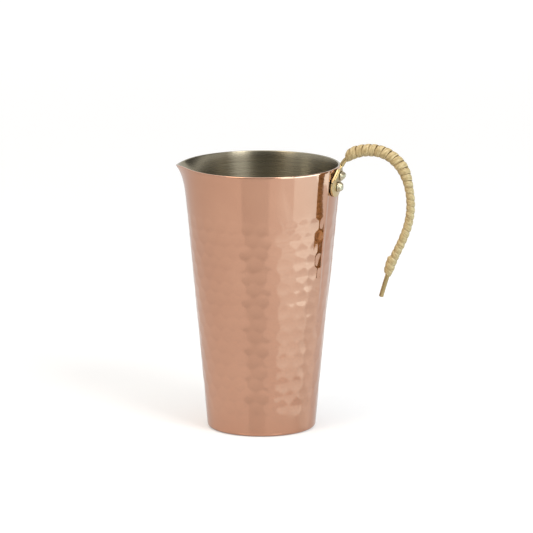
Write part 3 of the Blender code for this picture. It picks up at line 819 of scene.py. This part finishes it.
class Nodes:
    """A short way to write the nodes of a material or a world."""

    def __init__(self, owner):
        owner.use_nodes = True
        self.owner = owner
        self.tree = owner.node_tree
        self.shader = self.tree.nodes.get("Principled BSDF")

    def add(self, kind, links=None, values=None, **settings):
        """A new node, with links into its inputs, values on them, and its own settings."""
        node = self.tree.nodes.new(kind)
        for key, value in settings.items():
            setattr(node, key, value)
        for key, value in (values or {}).items():
            node.inputs[key].default_value = value
        for key, socket in (links or {}).items():
            self.tree.links.new(socket, node.inputs[key])
        return node

    def place(self):
        return self.add("ShaderNodeTexCoord").outputs["Object"]

    def scaled(self, vector, scale):
        return self.add("ShaderNodeMapping", {"Vector": vector}, {"Scale": scale}).outputs["Vector"]

    def stretched(self, scale):
        return self.scaled(self.place(), scale)

    def noise(self, vector, scale, detail=3.0, roughness=0.55):
        values = {"Scale": scale, "Detail": detail, "Roughness": roughness}
        return self.add("ShaderNodeTexNoise", {"Vector": vector}, values).outputs["Fac"]

    def ramp(self, socket, *stops):
        """A colour or grey ramp from (position, colour) stops."""
        node = self.add("ShaderNodeValToRGB", {"Fac": socket})
        elements = node.color_ramp.elements
        while len(elements) < len(stops):
            elements.new(0.5)
        for element, (position, colour) in zip(elements, stops):
            element.position = position
            channels = colour if isinstance(colour, tuple) else (colour, colour, colour)
            element.color = (*channels, 1.0)
        return node.outputs["Color"]

    def put(self, socket, value):
        """Link a socket, or set a number or a colour on it."""
        if isinstance(value, bpy.types.NodeSocket):
            self.tree.links.new(value, socket)
        else:
            socket.default_value = value if isinstance(value, float) else (*value, 1.0)

    def mix(self, share, first, second, blend="MIX"):
        """Two colours mixed. The node's sockets share names, so they are reached by number."""
        node = self.add("ShaderNodeMix", data_type="RGBA", blend_type=blend)
        self.put(node.inputs[0], share)
        self.put(node.inputs[6], first)
        self.put(node.inputs[7], second)
        return node.outputs[2]

    def math(self, operation, first, second):
        node = self.add("ShaderNodeMath", operation=operation)
        self.put(node.inputs[0], first)
        self.put(node.inputs[1], second)
        return node.outputs[0]

    def remap(self, value, start, stop, smooth=False):
        """A value mapped from one (input, output) pair to another."""
        node = self.add("ShaderNodeMapRange", {"Value": value})
        node.inputs["From Min"].default_value, node.inputs["To Min"].default_value = start
        node.inputs["From Max"].default_value, node.inputs["To Max"].default_value = stop
        node.interpolation_type = "SMOOTHSTEP" if smooth else "LINEAR"
        return node.outputs["Result"]

    def bump(self, height, strength, distance):
        values = {"Strength": strength, "Distance": distance}
        return self.add("ShaderNodeBump", {"Height": height}, values).outputs["Normal"]

    def link(self, **sockets):
        for name, socket in sockets.items():
            self.tree.links.new(socket, self.shader.inputs[name.replace("_", " ")])

    def set(self, **values):
        for name, value in values.items():
            self.shader.inputs[name.replace("_", " ")].default_value = value


def new_material(name):
    return Nodes(bpy.data.materials.new(name))


def copper_material():
    """Polished all round the cup, so the faint polishing lines lie level."""
    n = new_material("polished_copper")
    cloud = n.noise(n.place(), scale=55.0)
    polish = n.noise(n.stretched((30.0, 30.0, 500.0)), scale=6.0, detail=4.0)
    dark, light = COPPER_TONES
    smooth, rough = COPPER_ROUGHNESS
    n.link(Base_Color=n.ramp(cloud, (0.3, dark), (0.7, light)),
           Roughness=n.ramp(polish, (0.3, smooth), (0.75, rough)))
    n.set(Metallic=1.0)
    return n.owner


def lining_material():
    """Turned on a lathe, so its fine rings spread every reflection up and down."""
    n = new_material("plated_lining")
    rings = n.noise(n.stretched((8.0, 8.0, 2600.0)), scale=1.0, detail=4.0)
    dark, light = LINING_TONES
    smooth, rough = LINING_ROUGHNESS
    around = n.add("ShaderNodeTangent", direction_type="RADIAL", axis="Z").outputs["Tangent"]
    n.link(Base_Color=n.ramp(rings, (0.25, dark), (0.75, light)),
           Roughness=n.ramp(rings, (0.2, smooth), (0.8, rough)),
           Normal=n.bump(rings, strength=0.05, distance=0.1 * MM),
           Tangent=around)
    n.set(Metallic=1.0, Anisotropic=0.8, Anisotropic_Rotation=0.25)
    return n.owner


def brass_material(name, tones, roughness):
    """Clouded brass with fine wear, which also spreads the roughness around its value."""
    n = new_material(name)
    cloud = n.noise(n.place(), scale=220.0)
    wear = n.noise(n.place(), scale=1400.0, detail=5.0)
    dark, light = tones
    smooth, rough = roughness - BRASS_SMOOTHER, roughness + BRASS_ROUGHER
    n.link(Base_Color=n.ramp(cloud, (0.3, dark), (0.7, light)),
           Roughness=n.ramp(wear, (0.3, smooth), (0.8, rough)),
           Normal=n.bump(wear, strength=0.12, distance=0.12 * MM))
    n.set(Metallic=1.0)
    return n.owner


def strip_place(n):
    """Along the strip in turns, across it in shares of its half width, as a texture's X and Y."""
    along = n.add("ShaderNodeAttribute", attribute_name="strip_along").outputs["Fac"]
    across = n.add("ShaderNodeAttribute", attribute_name="strip_across").outputs["Fac"]
    return n.add("ShaderNodeCombineXYZ", {"X": along, "Y": across}).outputs["Vector"], across


def rattan_material():
    """Split cane: long fibres, paler and darker patches, short flecks, and painted shade along its
    edges, where neighbouring turns meet.
    """
    n = new_material("rattan_skin")
    place, across = strip_place(n)
    fibres = n.noise(n.scaled(place, (1.2, 9.0, 1.0)), scale=1.6, detail=5.0, roughness=0.6)
    patches = n.noise(place, scale=0.9, detail=2.0)
    flecks = n.noise(n.scaled(place, (6.0, 1.3, 1.0)), scale=1.4, detail=3.0, roughness=0.6)
    colour = n.ramp(fibres, (0.3, RATTAN_TONES[0]), (0.7, RATTAN_TONES[1]))
    patch_tint = n.ramp(patches, (0.35, RATTAN_PATCH_TINTS[0]), (0.65, RATTAN_PATCH_TINTS[1]))
    fleck_tint = n.ramp(flecks, (0.36, RATTAN_FLECK_TINTS[0]), (0.62, RATTAN_FLECK_TINTS[1]))
    for tint in (patch_tint, fleck_tint):
        colour = n.mix(1.0, colour, tint, "MULTIPLY")
    # Painted shade along both edges of the strip, where neighbouring turns meet in a dark seam
    edge = n.math("POWER", n.math("ABSOLUTE", across, 0.0), RATTAN_SEAM_SHADE_POWER)
    seam_shade_share = n.ramp(edge, (0.4, 0.0), (1.0, RATTAN_SEAM_SHADE_SHARE))
    smooth, rough = RATTAN_ROUGHNESS
    grain = n.math("ADD", fibres, flecks)
    n.link(Base_Color=n.mix(seam_shade_share, colour, RATTAN_SEAM_SHADE_COLOUR),
           Roughness=n.ramp(fibres, (0.2, rough), (0.8, smooth)),
           Normal=n.bump(grain, strength=0.5, distance=0.14 * MM))
    return n.owner


def core_material():
    n = new_material("rattan_core")
    fibres = n.noise(n.stretched((300.0, 2500.0, 300.0)), scale=1.0, detail=4.0)
    dark, light = CORE_TONES
    n.link(Base_Color=n.ramp(fibres, (0.3, dark), (0.7, light)),
           Normal=n.bump(fibres, strength=0.4, distance=0.1 * MM))
    n.set(Roughness=CORE_ROUGHNESS)
    return n.owner


# Stage

def dim_place(n, place, turn, rise, edge, core):
    """Light of a white room with a round dim place in one direction."""
    level = math.cos(rise)
    way = (math.cos(turn) * level, math.sin(turn) * level, math.sin(rise))
    facing = n.add("ShaderNodeVectorMath", {0: place}, {1: way}, operation="DOT_PRODUCT")
    return n.remap(facing.outputs["Value"], edge, core, smooth=True)


def add_world():
    """White all round, but mirrored rays find two dim places.

    One is behind the camera, the other high on its right.
    """
    n = Nodes(bpy.data.worlds.new("white_studio"))
    bpy.context.scene.world = n.owner
    rays = n.add("ShaderNodeLightPath").outputs
    seen = n.math("MAXIMUM", rays["Is Camera Ray"], rays["Is Transmission Ray"])
    plain = n.remap(seen, (0.0, WORLD_LIGHT), (1.0, 1.0))
    place = n.add("ShaderNodeTexCoord").outputs["Generated"]
    end = dim_place(n, place, DIM_TURN, 0.0, (DIM_EDGE, 1.0), (DIM_CORE, DIM_LIGHT))
    side = dim_place(n, place, SIDE_TURN, SIDE_RISE, (SIDE_EDGE, 1.0), (SIDE_CORE, SIDE_LIGHT))
    mirrored = n.math("MULTIPLY", n.math("MULTIPLY", end, side), rays["Is Glossy Ray"])
    other = n.math("MULTIPLY", plain, n.remap(rays["Is Glossy Ray"], (0.0, 1.0), (1.0, 0.0)))
    background = n.tree.nodes["Background"]
    n.put(background.inputs["Color"], WHITE)
    n.put(background.inputs["Strength"], n.math("ADD", mirrored, other))


def floor_material():
    """A white table top. The camera sees it matt and white, mirrored rays find its gloss.

    Its glow makes up for the light that falls off with distance, and leaves the shadow to be seen.
    """
    n = new_material("white_floor")
    rays = n.add("ShaderNodeLightPath").outputs
    matt = n.add("ShaderNodeBsdfDiffuse", values={"Color": (*FLOOR_COLOUR, 1.0)}).outputs[0]
    mirrored = n.math("MAXIMUM", rays["Is Glossy Ray"], rays["Is Transmission Ray"])
    away = n.add("ShaderNodeVectorMath", {0: n.place()}, operation="LENGTH").outputs["Value"]
    level = n.remap(away, (FLOOR_NEAR, FLOOR_GLOW_NEAR), (FLOOR_FAR, FLOOR_GLOW_FAR))
    seen = n.math("MULTIPLY", rays["Is Camera Ray"], level)
    found = n.math("MULTIPLY", mirrored, FLOOR_GLOW_MIRRORED)
    glow = n.add("ShaderNodeEmission", {"Strength": n.math("ADD", seen, found)}).outputs[0]
    white = n.add("ShaderNodeAddShader", {0: matt, 1: glow}).outputs[0]
    gloss = n.add("ShaderNodeBsdfGlossy", values={"Roughness": FLOOR_ROUGHNESS}).outputs[0]
    fresnel = n.add("ShaderNodeFresnel", values={"IOR": FLOOR_IOR}).outputs[0]
    share = n.math("MULTIPLY", fresnel, rays["Is Glossy Ray"])
    top = n.add("ShaderNodeMixShader", {0: share, 1: white, 2: gloss}).outputs[0]
    n.put(n.tree.nodes["Material Output"].inputs["Surface"], top)
    return n.owner


def add_floor():
    mesh = bpy.data.meshes.new("floor")
    corners = [(-FLOOR_HALF, -FLOOR_HALF, 0.0), (FLOOR_HALF, -FLOOR_HALF, 0.0),
               (FLOOR_HALF, FLOOR_HALF, 0.0), (-FLOOR_HALF, FLOOR_HALF, 0.0)]
    mesh.from_pydata(corners, [], [(0, 1, 2, 3)])
    mesh.materials.append(floor_material())
    floor = bpy.data.objects.new("floor", mesh)
    bpy.context.scene.collection.objects.link(floor)
    floor.location.z = -FLOOR_CLEARANCE


def add_softbox(name, turn, distance, height, size, power, colour=WHITE):
    """A lamp that faces the cup, placed by its turn to the camera's right as seen from the cup."""
    light = bpy.data.lights.new(name, "AREA")
    light.shape = "RECTANGLE"
    light.size, light.size_y = size
    light.energy = power
    light.color = colour
    lamp = bpy.data.objects.new(name, light)
    bpy.context.scene.collection.objects.link(lamp)
    angle = VIEW_TURN - math.pi / 2 + math.radians(turn)
    lamp.location = (distance * math.cos(angle), distance * math.sin(angle), height)
    facing = Vector((0.0, 0.0, min(height, CUP_HEIGHT / 2))) - lamp.location
    lamp.rotation_euler = facing.to_track_quat("-Z", "Y").to_euler()


def add_lights():
    """High softboxes, and cool low ones whose image in the table top gives the pale bands."""
    add_softbox("overhead_softbox", turn=-60.0, distance=0.14, height=1.0,
                size=(0.9, 0.9), power=4.0)
    add_softbox("front_softbox", turn=37.0, distance=0.95, height=0.85,
                size=(0.45, 0.6), power=7.6)
    add_softbox("left_softbox", turn=-44.0, distance=0.90, height=0.90,
                size=(0.5, 0.5), power=4.2, colour=WARM_LIGHT)
    add_softbox("right_softbox", turn=63.0, distance=0.50, height=0.0475,
                size=(0.75, 0.075), power=0.17, colour=COOL_LIGHT)
    add_softbox("right_lamp", turn=71.0, distance=0.50, height=0.0475,
                size=(0.40, 0.075), power=0.21, colour=COOL_LIGHT)
    add_softbox("near_softbox", turn=56.0, distance=0.34, height=0.073,
                size=(0.36, 0.094), power=0.18, colour=COOL_LIGHT)
    add_softbox("side_softbox", turn=99.0, distance=0.34, height=0.073,
                size=(0.25, 0.094), power=0.075, colour=COOL_LIGHT)


def add_camera():
    data = bpy.data.cameras.new("camera")
    data.lens = LENS_LENGTH
    data.sensor_width = SENSOR_WIDTH
    camera = bpy.data.objects.new("camera", data)
    bpy.context.scene.collection.objects.link(camera)
    back = Vector((math.sin(VIEW_TURN), -math.cos(VIEW_TURN), 0.0))
    right = Vector((math.cos(VIEW_TURN), math.sin(VIEW_TURN), 0.0))
    camera.location = back * VIEW_DISTANCE + right * VIEW_SIDESTEP + Vector((0.0, 0.0, VIEW_HEIGHT))
    camera.rotation_euler = (math.pi / 2 - VIEW_DROP, 0.0, VIEW_TURN)
    bpy.context.scene.camera = camera


def main():
    copper = copper_material()
    lining = lining_material()
    sheet_brass = brass_material("sheet_brass", SHEET_BRASS_TONES, SHEET_BRASS_ROUGHNESS)
    rod_brass = brass_material("rod_brass", ROD_BRASS_TONES, ROD_BRASS_ROUGHNESS)
    rivet_brass = brass_material("rivet_brass", RIVET_BRASS_TONES, RIVET_BRASS_ROUGHNESS)

    path = RodPath()
    make_cup(copper, lining)
    make_base_plate(sheet_brass)
    make_rod(path, rod_brass)
    make_rivet("upper_rivet_head", "upper_rivet", FOOT_FACE, UPPER_RIVET_DEPTH,
               UPPER_HEAD_DIAMETER, UPPER_HEAD_HEIGHT, rivet_brass)
    make_rivet("lower_rivet_head", "lower_rivet", PLATE_FACE, LOWER_RIVET_DEPTH,
               LOWER_HEAD_DIAMETER, LOWER_HEAD_HEIGHT, rivet_brass)
    make_filler(path, core_material())
    make_winding(path, rattan_material())

    add_world()
    add_floor()
    add_lights()
    add_camera()
    bpy.context.scene.view_settings.view_transform = "Standard"


main()
